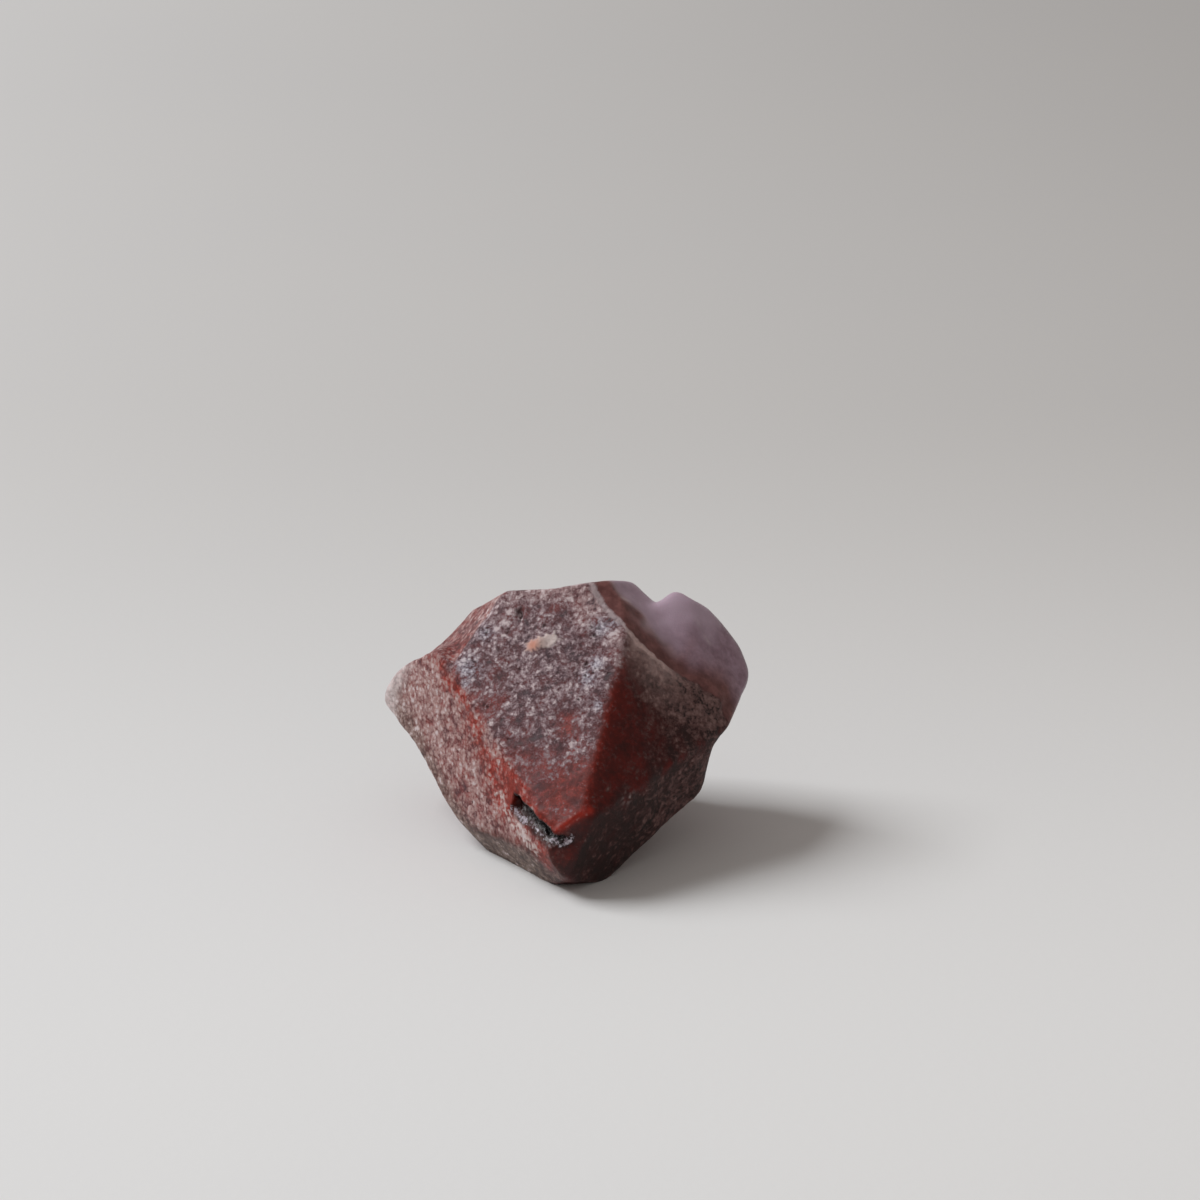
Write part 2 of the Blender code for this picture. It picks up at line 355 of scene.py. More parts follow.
# Marks on the stone, in mm from its heart. Lines of points first, each with its radius.
GROOVE_PATH = ((-5.3, -11.2, -2.9), (-1.6, -15.8, -4.6))
TIP_LEDGE_PATH = ((-1.3, -16.2, -4.3), (1.0, -15.9, -2.8), (2.0, -15.5, -2.5))
LINES = {
    "left ridge": ((
        (-10.8, 3.4, 8.0), (-11.4, 1.7, 7.1), (-12.0, 0.1, 6.2), (-10.3, -3.4, 3.6),
        (-9.3, -5.1, 1.3), (-8.2, -6.7, -0.4), (-7.0, -8.6, -1.1), (-5.5, -10.9, -2.0),
    ), 1.9),
    "right ridge": (((5.2, -3.6, 9.4), (3.9, -9.6, 4.4), (2.7, -12.9, 0.7), (1.5, -15.4, -2.1)), 1.5),
    "lower ridge": (((15.3, -4.0, 1.4), (12.0, -7.0, 0.2), (8.5, -10.3, -1.2), (5.9, -12.6, -2.3)), 0.8),
    "pale grain": (((-3.8, -1.4, 9.5), (-2.6, -1.5, 9.9), (-1.8, -1.6, 10.3)), 1.15),
    "groove": (GROOVE_PATH, 2.6),
    "below the groove": (GROOVE_PATH, 3.0),
    "groove lumps": (GROOVE_PATH, 1.6),
    "upper groove edge": (((-5.2, -11.3, -2.2), (-1.6, -15.9, -3.9)), 0.9),
    "lower left edge": ((
        (-10.1, -4.5, -9.2), (-7.1, -9.1, -8.3), (-4.5, -12.7, -7.9), (-2.6, -15.3, -7.5),
    ), 0.6),
    "painted_gleam": ((
        (-5.7, -10.6, -4.5), (-5.0, -11.3, -4.8), (-3.7, -13.1, -5.2),
        (-2.3, -15.0, -5.8), (-0.8, -16.1, -5.9), (0.1, -16.1, -5.3),
    ), 0.7),
    "grain under the groove": ((
        (-7.2, -8.8, -3.6), (-6.3, -10.1, -5.2), (-4.5, -12.8, -6.7), (-3.2, -14.6, -7.4),
    ), 1.3),
    "orange at the groove": (((-5.9, -10.3, -2.2), (-5.9, -10.4, -3.6)), 0.65),
    "orange on the tip ledge": (TIP_LEDGE_PATH, 0.5),
    "grain on the tip ledge": (TIP_LEDGE_PATH, 0.6),
    # Painted highlights where the curves of the lobe and the shoulder catch the light.
    "painted highlight down the lobe": (((12.6, 4.0, 10.9), (13.0, 3.6, 9.5)), 0.32),
    "painted highlight low on the lobe": (((13.7, 3.0, 8.9), (14.1, 2.8, 8.2)), 0.3),
    "painted highlight on the shoulder": (((5.2, 1.3, 13.6), (6.0, 1.6, 13.2)), 0.35),
}
PAINTED_HIGHLIGHTS = ("painted highlight down the lobe", "painted highlight low on the lobe", "painted highlight on the shoulder")
# Single marks: centre and radius.
SPOTS = {
    "peach grain": ((-3.7, -1.4, 9.5), 1.1),
    "broken tip": ((0.2, -16.2, -6.0), 5.0),
    "foot of the tip": ((-2.4, -14.9, -8.4), 2.0),
    "yellow grain": ((5.8, -12.7, -2.3), 0.9),
    # The pocket's dark mark is a painted shadow.
    "painted shadow in the pocket": ((-13.5, 7.25, 4.23), 0.8),
    "redder left face": ((-7.6, -9.4, -3.4), 3.2),
    "iron band drawn in": ((13.0, -0.5, 7.2), 3.0),
    "iron band swung out": ((6.6, 1.2, 12.0), 2.2),
}
# Marks of one kind: centre and radius of each.
PATCHES = {
    "dark pits": (
        ((-5.2, 1.9, 12.1), 0.55), ((-5.1, 1.2, 11.5), 0.5), ((-6.5, 0.7, 10.4), 0.45),
        ((-2.6, -0.2, 11.3), 0.35), ((-8.6, -4.5, 4.2), 0.42), ((-9.8, -4.2, 4.6), 0.35),
        ((-5.0, -2.6, 7.4), 0.35), ((2.5, -2.6, 10.9), 0.4), ((1.6, -4.6, 8.9), 0.3),
        ((-0.9, -3.9, 8.6), 0.3), ((-1.2, -4.3, 7.7), 0.28),
    ),
    "red": (
        ((-7.5, -1.9, 6.9), 1.3), ((-7.2, -4.4, 4.9), 1.5), ((-9.6, -2.6, 4.6), 0.9),
        ((-0.4, -8.0, 4.5), 1.3), ((-0.2, -9.2, 3.5), 1.1), ((-1.0, 1.0, 12.9), 1.2),
        ((1.4, -2.2, 11.2), 0.8), ((-12.6, 1.2, 6.6), 1.5), ((-11.4, 2.4, 8.0), 1.4),
    ),
    "pale": (
        ((1.8, -5.8, 7.8), 1.1), ((2.6, -5.0, 8.9), 0.9), ((-10.4, -1.0, 6.8), 1.6),
        ((-10.7, -2.0, 5.6), 0.7), ((3.2, -2.2, 11.8), 1.3), ((2.8, -8.4, 5.9), 0.7),
        ((-8.6, 1.2, 9.9), 0.9), ((4.3, -2.0, 12.2), 1.1), ((-9.3, -3.6, 3.4), 0.7),
    ),
    "grey": (
        ((-2.2, -3.2, 8.4), 1.6), ((-1.2, -4.4, 7.6), 1.3), ((-7.0, -7.2, 2.3), 0.9),
        ((-3.5, -8.6, 2.6), 1.7), ((-4.4, 0.0, 10.5), 0.9), ((-3.4, -12.6, -0.4), 0.8),
    ),
    "smooth": (
        ((-0.3, -8.6, 4.0), 1.2), ((-0.6, -13.9, -1.6), 2.4), ((1.0, -12.9, 0.2), 1.7),
        ((-2.4, -12.9, -1.2), 1.3),
    ),
}

# Natural unevenness: size of its blobs in mm, and a shift that tells one from the other.
SWELLS = {
    "broad": (3.2, (4.0, 0.0, 9.0)),
    "patchy": (1.5, (0.0, 8.0, 2.0)),
    "fine": (0.6, (5.0, 1.0, 0.0)),
    "speckled": (0.35, (3.0, 7.0, 1.0)),
    "healed cracks": (5.5, (2.0, 5.0, 8.0)),
    "rusty cracks": (4.2, (6.0, 1.0, 3.0)),
    "lie of the faces": (5.0, (0.0, 0.0, 0.0)),
    "dents": (1.7, (7.0, 3.0, 1.0)),
    "clustered grains": (0.42, (2.0, 2.0, 6.0)),
    "pinholes": (0.9, (9.0, 4.0, 4.0)),
    "broken crystals": (0.55, (3.0, 3.0, 3.0)),
    "groove lumps": (0.9, (6.0, 2.0, 2.0)),
}
GRAIN_SIZE = 0.62
FACE_BLEND = 0.25  # how softly one leaning face gives way to the next, mm

# Where things on the stone begin and where they are full, in mm or by the strength of a mark.
# Where the limit wanders, how far it does so in patches and in fine grains comes after that.
EDGES = {
    "broken back": (-0.4, -0.12, 0.0, 0.1),
    "leaning faces": (0.5, 0.36, 0.08, 0.1),
    "prism sides": (0.5, 0.2),
    "flange": (0.6, 0.2),
    "lobe": (0.6, 0.3, 0.22, 0.12),
    "rim to the inside": (0.5, 0.4, 0.08, 0.1),
    "rim to the crust": (0.12, 0.22, 0.08, 0.1),
    "rim on the right face": (-0.9, 0.1, 0.3, 0.4),
    "faint rim": (-2.4, -0.4, 0.5, 0.4),
    "right end of the rim": (12.0, 8.5),
    "along the top": (-2.6, -0.3, 0.4),
    "left end of the top": (-10.0, -2.0),
    "near the breaks": (-3.0, -0.6, 0.4),
    "iron band": (2.7, 0.9, 0.25),
    "amethyst": (1.1, 2.1, 0.25),
    "rind of the back": (1.9, 0.9, 0.5, 0.25),
    "whiter upwards": (-3.0, 7.0),
    "whiter to the upper right": (5.0, 12.0),
    "whiter to the right": (4.0, 10.0),
    "redder downwards": (6.0, -1.0),
    "less red to the right": (5.0, 12.0),
    "turned from the light": (2.0, 8.0),
    "gaps in the left ridge": (-0.6, 0.25, 1.0, 0.8),
    "top of the left ridge": (8.5, 4.5, 1.0),
    "gaps in the lower band": (-0.4, 0.1, 1.0),
    "bare below the groove": (0.3, -0.3, 1.0),
    "whiter right end": (8.0, 10.5),
    "groove": (-0.35, -0.05),
    "broken tip": (-0.3, -0.05),
    "painted_gleam": (0.25, 0.85, 0.2, 0.35),
    "reach of the gleam": (0.1, 0.35),
    "dark pits": (0.45, 0.85),
    "pale grain": (0.45, 0.8),
    "yellow grain": (-0.1, 0.4),
    "loose grains": (0.75, 0.95),
    "painted light to the right": (6.0, 10.0),
    "painted light upwards": (7.0, 12.5, 0.8),
    "healed cracks": (0.03, 0.005),
    "rusty cracks": (0.05, 0.01),
    "rust in the cracks": (-0.2, 0.3, 1.0),
    "clouds inside": (0.05, 0.5, 0.6),
    "thin edge": (-2.5, -0.6, 0.5, 0.4),
    "clear left end": (-13.2, -16.2, 0.8, 0.5),
    "olive left edge": (4.0, 1.0),
    "pinholes": (0.25, 0.5),
}


class Skin:
    """Points on the skin: the faces they lie on, how deep they lie and how uneven it is there."""

    def __init__(self, points):
        self.points = points
        self.across, self.high = points[:, 0], points[:, 2]
        tables = flats(points)
        pyramid, self.side = tables[:2]
        self.lobe, self.lobe_front, self.flange = tables[5:8]
        self.groove, self.tip = tables[9:]
        self.body, self.broken = stone_parts(points)[1:3]
        self.depth = -worn_max(pyramid, WEAR)
        share = np.exp((pyramid - pyramid.max(axis=1)[:, None]) / FACE_BLEND)
        self.share = share / share.sum(axis=1)[:, None]
        self.upper, self.left, self.right, self.lower_right, self.lower_left, _ = self.share.T
        self.broad, self.patchy, self.fine = map(self.swell, ("broad", "patchy", "fine"))

    def swell(self, name):
        return swell(self.points, *SWELLS[name])

    def line(self, name):
        return streak(self.points, *LINES[name])

    def spot(self, name):
        return spot(self.points, *SPOTS[name])

    def patches(self, name):
        return patches(self.points, PATCHES[name])

    def past(self, name, value=0.0):
        """0 on the near side of a named edge and 1 on its far side."""
        begins, full, *wander = EDGES[name]
        for amount, unevenness in zip(wander, (self.patchy, self.fine)):
            value = value + amount * unevenness
        return ramp(value, begins, full)


# ---------------------------------------------------------------- where each mineral shows

CRUSTED_SIDES = 5  # all the prism sides but the last, which is broken
# How white, how red, how warm and how deep in painted shade each leaning face is, in the order of their
# table.
FACE_FROST = (0.29, 0.57, 0.02, 0.12, 0.5, 0.2)
FACE_IRON = (0.22, 0.5, 0.95, 0.25, 0.2, 0.5)
FACE_WARMTH = (0.1, 0.95, 0.3, 0.15, 0.6, 0.4)
FACE_PAINTED_SHADE = (0.0, 0.0, 1.0, 1.0, 0.0, 0.8)
FACE_PATCHINESS = (0.0, 0.22, 0.3, 0.2, 0.0, 0.0)
# How much whiter or redder a face grows along its length.
WHITER_UPPER, WHITER, REDDER, LESS_RED = 0.26, 0.36, 0.36, 0.5
RISING = 0.55  # how much the height counts towards the upper right
# The prism sides and the flange all look alike, but for the painted shade, which also cools them where
# they turn from the light.
SIDE_FROST, SIDE_IRON, SIDE_WARMTH, SIDE_PAINTED_SHADE, SIDE_COOLER = 0.42, 0.5, 0.8, 0.7, 0.5
# How much the broad, the patchy and the fine unevenness count.
CLOUDED, PATCHED_IRON, PATCHED_FROST, GRAINY = 0.3, 0.25, 0.2, 0.1
TIP_IRON, MOST_FROST = 0.75, 0.68

# What each mark adds to the crust's iron, to its frost and to its warmth.
MARK_EFFECTS = {
    "left ridge": (0.5, -0.32, 0.5),
    "right strip": (0.5, -0.6, 0.0),
    "lower band": (0.5, -0.35, 0.0),
    "lower edges": (0.35, -0.35, 0.0),
    "foot of the tip": (0.6, -0.45, 0.0),
    "below the groove": (0.6, 0.0, 0.0),
    "bare below the groove": (0.0, -0.25, 0.0),
    "redder left face": (0.4, -0.35, 0.0),
    "red on the upper face": (0.3, -0.14, 0.0),
    "red on the left face": (0.35, -0.25, 0.0),
    "grey": (-0.3, -0.12, 0.0),
    "smooth": (0.15, -0.4, 0.0),
    "pale": (0.0, 0.4, -0.3),
    "along the top": (0.0, 0.32, 0.4),
    "right face by the break": (-0.3, 0.24, 0.0),
    "right end of the right face": (0.0, 0.22, 0.0),
    "orange": (0.0, -1.0, 0.0),
}
RIDGE, RIDGE_ON_LEFT = 0.65, 0.5  # strength of the left ridge, and what it gains on the left face

# How strong the other marks are, where a whole one is 1, and how ragged with speckles.
RIM_ON_RIGHT, FAINT_RIM = 0.6, 0.2
YELLOW_GRAIN, LOOSE_GRAIN, HEALED_CRACK, RUSTY_CRACK, INNER_CLOUD = 0.35, 0.8, 0.45, 0.45, 0.5
LOBE_LIGHT_AT_LEFT, LOBE_LIGHT_AT_RIGHT = 0.4275, 0.95  # how much painted light lies on the top of the lobe, at its left and at its right
PIT, PIT_ON_RIGHT, PIT_AMONG_WHITE = 0.8, 0.45, 0.3
GRAIN_RAGGED, PIT_RAGGED, CRACK_RAGGED = 0.5, 0.9, 0.05
UNDER_GROOVE, ON_LEDGE = (0.75, 1.3), (0.7, -1.3)
LOBE_CLOUDED = 1.5  # mm
BAND_DRAWN_IN, BAND_SWUNG_OUT = 0.7, 1.2  # mm
LINING, LINING_OFF_ORANGE, BLACK_UNDER_GLEAM = 1.3, 1.6, 0.85
# The first is the strength of the painted highlights on the lobe and the shoulder.
PAINTED_HIGHLIGHT, OLIVE_ON_LEFT, STRONG_RUST = 0.5, 0.7, 1.2


def crust_masks(skin):
    """Where crust has grown, the cream rim where it ends, and the broken back."""
    on_back = skin.past("broken back", skin.broken)
    grown = skin.past("leaning faces", skin.depth)
    off_sides = np.abs(skin.side[:, :CRUSTED_SIDES].max(axis=1))
    off_lobe = np.maximum(skin.lobe.max(axis=1), skin.lobe_front.max(axis=1))
    grown_side = skin.past("prism sides", off_sides) * (1 - skin.past("lobe", off_lobe))
    on_flange = skin.past("flange", skin.flange.max(axis=1))
    crusted = np.maximum(grown, np.maximum(grown_side, on_flange)) * (1 - on_back)

    rim = skin.past("rim to the inside", skin.depth) * skin.past("rim to the crust", skin.depth)
    rim *= (1 - grown_side) * (1 - on_flange)
    by_break = RIM_ON_RIGHT * skin.past("rim on the right face", skin.body)
    by_break = np.maximum(by_break, FAINT_RIM * skin.past("faint rim", skin.body))
    rim = np.maximum(rim, skin.right * grown * by_break)
    rim *= skin.past("right end of the rim", skin.across)
    return on_back, grown, crusted, rim


def crust_marks(skin, grown, orange):
    """Every mark on the crust that MARK_EFFECTS names, by name."""
    upper, left, right = skin.upper, skin.left, skin.right
    along_top = skin.past("along the top", skin.body) * skin.past("left end of the top", skin.across)
    left_ridge = skin.line("left ridge") * skin.past("gaps in the left ridge")
    left_ridge *= (RIDGE + RIDGE_ON_LEFT * left) * skin.past("top of the left ridge", skin.high)
    below_groove = left * skin.line("below the groove")
    by_break = right * grown * skin.past("near the breaks", skin.body)
    red = skin.patches("red")
    return {
        "left ridge": left_ridge,
        "right strip": right * skin.line("right ridge"),
        "lower band": skin.line("lower ridge") * skin.past("gaps in the lower band"),
        "lower edges": upper * skin.line("upper groove edge") + skin.line("lower left edge"),
        "foot of the tip": skin.spot("foot of the tip"),
        "below the groove": below_groove,
        "bare below the groove": below_groove * skin.past("bare below the groove"),
        "redder left face": left * skin.spot("redder left face"),
        "red on the upper face": upper * red,
        "red on the left face": left * red,
        "grey": upper * skin.patches("grey"),
        "smooth": upper * skin.patches("smooth"),
        "pale": (upper + left) * skin.patches("pale"),
        "along the top": upper * upper * grown * along_top,
        "right face by the break": by_break,
        "right end of the right face": by_break * skin.past("whiter right end", skin.across),
        "orange": orange,
    }


def crust_looks(skin, grown, crusted, orange):
    """How white with grains the crust is, how red, how warm, and its painted shade away from the light.
    """
    upper, left, right, lower_right = skin.upper, skin.left, skin.right, skin.lower_right
    frost = skin.share @ FACE_FROST + skin.patchy * (skin.share @ FACE_PATCHINESS)
    frost += WHITER_UPPER * upper * skin.past("whiter upwards", skin.high)
    frost += CLOUDED * left * skin.broad
    up_right = skin.across + RISING * skin.high
    frost += WHITER * right * skin.past("whiter to the upper right", up_right)
    frost += WHITER * lower_right * skin.past("whiter to the right", skin.across)
    iron = skin.share @ FACE_IRON + REDDER * upper * skin.past("redder downwards", skin.high)
    iron -= LESS_RED * right * skin.past("less red to the right", skin.across)
    warm, painted_shade = skin.share @ FACE_WARMTH, skin.share @ FACE_PAINTED_SHADE

    on_side = crusted * (1 - grown)
    turned = skin.past("turned from the light", skin.across)
    frost += on_side * (SIDE_FROST + CLOUDED * skin.broad - frost)
    iron += on_side * (SIDE_IRON - iron)
    warm += on_side * (SIDE_WARMTH - SIDE_COOLER * turned - warm)
    painted_shade += on_side * (SIDE_PAINTED_SHADE * turned - painted_shade)

    iron += PATCHED_IRON * skin.patchy + GRAINY * skin.fine
    frost += upper * (PATCHED_FROST * skin.patchy + GRAINY * skin.fine)
    for name, mark in crust_marks(skin, grown, orange).items():
        more_iron, more_frost, more_warmth = MARK_EFFECTS[name]
        iron += more_iron * mark
        frost += more_frost * mark
        warm += more_warmth * mark

    # At the broken tip the iron rises, the frost goes and the painted shade is full.
    at_tip = skin.past("broken tip", skin.tip.min(axis=1)) * skin.spot("broken tip")
    iron += at_tip * (TIP_IRON + CLOUDED * skin.patchy - iron)
    painted_shade += at_tip * (1 - painted_shade)
    frost = np.minimum(frost * (1 - at_tip), MOST_FROST)
    return frost, iron, warm, painted_shade


def pale_mask(skin, on_back, amethyst):
    """Clean pale quartz: lone grains and clouds inside the root, and painted light on the top of the
    lobe.
    """
    speckled = skin.swell("speckled")
    pale = skin.past("pale grain", skin.line("pale grain") + GRAIN_RAGGED * speckled)
    pale += YELLOW_GRAIN * skin.spot("yellow grain") * skin.past("yellow grain", speckled)
    for line, (whole, ragged) in (
        ("grain under the groove", UNDER_GROOVE), ("grain on the tip ledge", ON_LEDGE)
    ):
        pale += LOOSE_GRAIN * skin.past("loose grains", skin.line(line) * (whole + ragged * speckled))
    # Painted light on the top of the lobe, stronger to the right.
    to_right = skin.past("painted light to the right", skin.across)
    lobe = amethyst * (LOBE_LIGHT_AT_LEFT + (LOBE_LIGHT_AT_RIGHT - LOBE_LIGHT_AT_LEFT) * to_right)
    pale += lobe * skin.past("painted light upwards", skin.high + LOBE_CLOUDED * skin.broad)
    healed = skin.past("healed cracks", np.abs(skin.swell("healed cracks")))
    clouds = skin.past("clouds inside", skin.broad)
    return pale + on_back * (INNER_CLOUD * clouds + HEALED_CRACK * healed)


def dark_mask(skin, on_back, amethyst, cool):
    """Dark pits in the crust, a painted shadow in the pocket, and rusty cracks through the broken root.
    """
    pits = np.maximum(skin.patches("dark pits"), skin.spot("painted shadow in the pocket"))
    pits = pits + PIT_RAGGED * skin.swell("speckled") + PIT_AMONG_WHITE * cool
    dark = skin.past("dark pits", pits) * (PIT + (PIT_ON_RIGHT - PIT) * skin.right)
    off_crack = np.abs(skin.swell("rusty cracks") + CRACK_RAGGED * skin.fine)
    rust = skin.past("rusty cracks", off_crack) * skin.past("rust in the cracks")
    return dark * (1 - amethyst) + on_back * RUSTY_CRACK * rust


def masks_over(skin):
    """The named masks that say what mineral shows where, each from 0 to 1."""
    on_back, grown, crusted, rim = crust_masks(skin)
    orange = np.maximum(skin.line("orange at the groove"), skin.line("orange on the tip ledge"))
    frost, iron, warm, painted_shade = crust_looks(skin, grown, crusted, orange)
    cool = skin.upper * skin.patches("pale")

    # Inside lie the iron band and then the amethyst. They show only where the stone broke.
    under = skin.depth + CLOUDED * skin.broad + BAND_DRAWN_IN * skin.spot("iron band drawn in")
    under -= BAND_SWUNG_OUT * skin.spot("iron band swung out")
    rind = on_back * skin.past("rind of the back", -skin.body)
    amethyst = (1 - crusted) * skin.past("amethyst", under)

    # The groove is lined with broken black crystals, and a painted highlight runs along a line of them.
    painted_gleam = skin.line("painted_gleam")
    painted_gleam = skin.past("painted_gleam", painted_gleam) * skin.past("reach of the gleam", painted_gleam)
    in_groove = skin.past("groove", np.minimum(skin.groove.min(axis=1), 1.0)) * skin.line("groove")
    lined = in_groove * (LINING - LINING_OFF_ORANGE * orange)

    # The left end is clear enough to look whitish round its thin edge.
    thin_end = skin.past("thin edge", skin.flange[:, :2].max(axis=1))
    thin_end *= skin.past("clear left end", skin.across)
    olive = skin.past("near the breaks", skin.body) * skin.past("olive left edge", skin.high)
    olive = grown * (skin.lower_left + OLIVE_ON_LEFT * skin.left * olive)
    masks = {
        "frost": frost * crusted,
        "iron": iron,
        "warm": warm,
        "painted_shade": painted_shade,
        "crusted": crusted,
        "rim": rim,
        # The clear end's whitish tone also carries the painted highlights.
        "clear_end_and_painted_highlights": thin_end + PAINTED_HIGHLIGHT * np.max([skin.line(name) for name in PAINTED_HIGHLIGHTS], axis=0),
        "iron_zone": np.maximum(skin.past("iron band", under), rind),
        "amethyst": amethyst,
        "hematite": np.maximum(lined, BLACK_UNDER_GLEAM * painted_gleam),
        "painted_gleam": painted_gleam,
        "rust": STRONG_RUST * orange,
        "dark": dark_mask(skin, on_back, amethyst, cool),
        "pale": pale_mask(skin, on_back, amethyst),
        "peach": skin.spot("peach grain"),
        "cool": cool,
        "olive": olive * (1 - skin.spot("foot of the tip")),
    }
    return {name: np.clip(values, 0.0, 1.0) for name, values in masks.items()}


# Heights over the skin, mm.
LIE, DENT, GRAIN, CLUSTER, PINHOLE = 0.14, 0.09, 0.04, 0.03, 0.06
CRYSTAL, CRYSTAL_SEAM, LUMP, PALE_RISE, DARK_SINK = 0.25, 0.1, 0.3, 0.08, 0.14
THIN_CRUST = 0.35  # the share of the crust's relief that is left where no frost shows
SEAM_LEVEL = 0.55  # how far out in a grain the crust is neither raised nor sunk


def ripples(points):
    """Rings over each shell-shaped break at the back, spreading from where the blow fell."""
    rise = np.zeros(len(points))
    for middle, size in BACK_SCOOPS:
        ball = np.array(middle)
        gap = np.abs(np.linalg.norm(points - ball, axis=1) - size)
        struck = ball + size * unit(np.array([ball[0], 0.0, ball[2]]) - ball)
        ring = np.linalg.norm(points - struck - np.array(STRUCK_OFF), axis=1)
        on_scoop = np.clip(1.0 - gap / RIPPLE_DEPTH, 0.0, 1.0)
        rise += RIPPLE_HEIGHT * on_scoop * np.cos(2 * math.pi * ring / RIPPLE_STEP)
    return rise


def unevenness(skin, masks):
    """Height of the crust, pits, lumps and ripples over the skin, mm."""
    rise = LIE * skin.swell("lie of the faces") + DENT * skin.swell("dents")
    cells = grains(skin.points, GRAIN_SIZE)
    crust = masks["crusted"] * (THIN_CRUST + (1 - THIN_CRUST) * masks["frost"])
    rise += crust * (GRAIN * (SEAM_LEVEL - cells) + CLUSTER * skin.swell("clustered grains"))
    rise -= crust * PINHOLE * skin.past("pinholes", skin.swell("pinholes"))
    rise += masks["hematite"] * (CRYSTAL * skin.swell("broken crystals") - CRYSTAL_SEAM * cells)
    rise += LUMP * skin.line("groove lumps") * skin.swell("groove lumps")
    rise += masks["crusted"] * (PALE_RISE * masks["pale"] - DARK_SINK * masks["dark"])
    for middle, size, height in BUMPS:
        far = np.linalg.norm(skin.points - np.array(middle), axis=1) / size
        rise += height * np.exp(-2.0 * far**2)
    return rise + ripples(skin.points)


# ---------------------------------------------------------------- the skin as a mesh


def put_in(name, data):
    """Adds an object to the scene."""
    made = bpy.data.objects.new(name, data)
    bpy.context.collection.objects.link(made)
    return made


def make_skin():
    directions, triangles = cube_directions(GRID)
    points = skin_points(directions)
    felt = Skin(points)
    masks = masks_over(felt)
    points = points + skin_normals(points) * unevenness(felt, masks)[:, None]
    points[:, 2] = np.maximum(points[:, 2], TABLE)

    mesh = bpy.data.meshes.new("quartz_skin")
    mesh.from_pydata(((points + HEART) * MM).tolist(), [], triangles)
    for name, values in masks.items():
        layer = mesh.attributes.new(name, "FLOAT", "POINT")
        layer.data.foreach_set("value", values.astype(np.float32))
    mesh.shade_smooth()
    return put_in("quartz_skin", mesh)


# ---------------------------------------------------------------- building materials


def join(tree, value, socket):
    """Links the value to the socket, or sets it there where it is a plain number or colour."""
    if isinstance(value, bpy.types.NodeSocket):
        tree.links.new(value, socket)
    else:
        socket.default_value = value


def place(tree, kind, settings=None, **sockets):
    """Adds a node, sets its options, and fills its inputs by their names."""
    made = tree.nodes.new(kind)
    for name, value in (settings or {}).items():
        setattr(made, name, value)
    for name, value in sockets.items():
        join(tree, value, made.inputs[name.replace("_", " ")])
    return made


def maths(tree, operation, *values):
    made = place(tree, "ShaderNodeMath", {"operation": operation})
    for socket, value in zip(made.inputs, values):
        join(tree, value, socket)
    return made.outputs[0]


def times(tree, first, second):
    return maths(tree, "MULTIPLY", first, second)


def between(tree, share, start, end):
    """Runs from start to end as the share runs from 0 to 1."""
    return maths(tree, "MULTIPLY_ADD", share, end - start, start)


def stepped(tree, value, low, high):
    """0 below low, 1 above high, and a smooth step between them."""
    smooth = {"interpolation_type": "SMOOTHSTEP"}
    made = place(tree, "ShaderNodeMapRange", smooth, Value=value, From_Min=low, From_Max=high)
    return made.outputs["Result"]


def blend(tree, share, first, second, way="MIX"):
    """Goes from the first colour to the second as the share runs from 0 to 1."""
    settings = {"data_type": "RGBA", "blend_type": way, "clamp_factor": True}
    made = place(tree, "ShaderNodeMix", settings)
    factor, a, b = (s for s in made.inputs if s.enabled)
    for socket, value in ((factor, share), (a, first), (b, second)):
        join(tree, value, socket)
    return next(s for s in made.outputs if s.enabled)


def scaled_colour(tree, colour, amount):
    grey = place(tree, "ShaderNodeCombineColor", Red=amount, Green=amount, Blue=amount)
    return blend(tree, 1.0, colour, grey.outputs["Color"], "MULTIPLY")


def colour_ramp(tree, share, stops):
    made = place(tree, "ShaderNodeValToRGB", Fac=share)
    elements = made.color_ramp.elements
    for element, (position, colour) in zip(elements, (stops[0], stops[-1])):
        element.position, element.color = position, colour
    for position, colour in stops[1:-1]:
        elements.new(position).color = colour
    return made.outputs["Color"]


def mask(tree, name):
    return place(tree, "ShaderNodeAttribute", {"attribute_name": name}).outputs["Fac"]


def new_group(name, inputs, outputs):
    """A group that takes a position and some numbers, and gives numbers."""
    group = bpy.data.node_groups.new(name, "ShaderNodeTree")
    group.interface.new_socket("Position", in_out="INPUT", socket_type="NodeSocketVector")
    for way, labels in (("INPUT", inputs), ("OUTPUT", outputs)):
        for label in labels:
            group.interface.new_socket(label, in_out=way, socket_type="NodeSocketFloat")
    return group, group.nodes.new("NodeGroupInput").outputs, group.nodes.new("NodeGroupOutput").inputs


def texture(tree, at, scale, detail, roughness):
    """Cloudy noise about 0.5, with so many clouds to the unit of length."""
    made = place(
        tree, "ShaderNodeTexNoise", Vector=at, Scale=scale, Detail=detail, Roughness=roughness
    )
    return made.outputs["Fac"]


